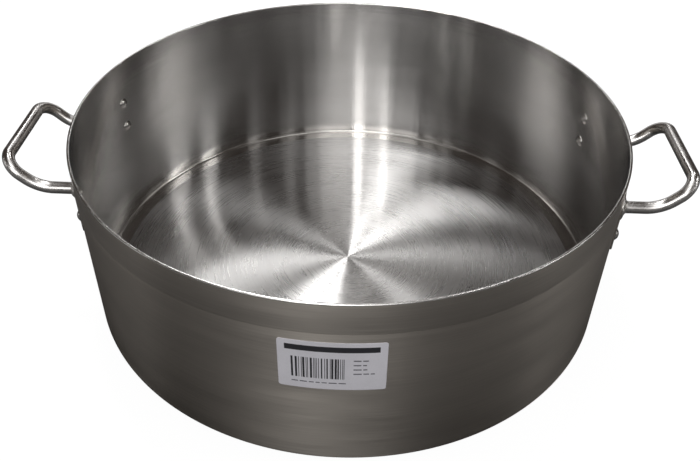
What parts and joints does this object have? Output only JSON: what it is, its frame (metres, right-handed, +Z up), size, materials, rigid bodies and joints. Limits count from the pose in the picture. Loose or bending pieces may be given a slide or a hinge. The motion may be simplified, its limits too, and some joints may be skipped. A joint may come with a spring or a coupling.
{
  "type": "brew kettle",
  "caption": "Wide, shallow, straight-walled steel brew kettle, open at the top, with fixed loop handles on riveted brackets and an inset sandwich base.",
  "frame": {"origin": "centre of the base's flat bottom face", "axes": "+Z up, out of the open top, along the pot's axis; the handles lie on the X axis, left handle at -X and right handle at +X; the sticker's side is the front, -Y"},
  "size_m": [0.5654, 0.45, 0.1635],
  "materials": {
    "pot_steel": "satin, brushed round the axis, with a brighter polished band under the rim",
    "core_aluminium": "plain",
    "cap_steel": "satin, turned",
    "label_paper": "uncoated paper sticker",
    "handle_steel": "mirror polished",
    "bracket_steel": "pressed sheet, buffed",
    "weld_steel": "TIG bead, brushed",
    "rivet_steel": "polished"
  },
  "bodies": {
    "root": {"body_shell": "pot_steel", "base_core": "core_aluminium", "base_cap": "cap_steel", "label_sticker": "label_paper", "left_handle": "handle_steel", "right_handle": "handle_steel", "left_front_bracket": "bracket_steel", "left_rear_bracket": "bracket_steel", "right_front_bracket": "bracket_steel", "right_rear_bracket": "bracket_steel", "left_front_weld": "weld_steel", "left_rear_weld": "weld_steel", "right_front_weld": "weld_steel", "right_rear_weld": "weld_steel", "left_front_rivets": "rivet_steel", "left_rear_rivets": "rivet_steel", "right_front_rivets": "rivet_steel", "right_rear_rivets": "rivet_steel"}
  },
  "joints": []
}
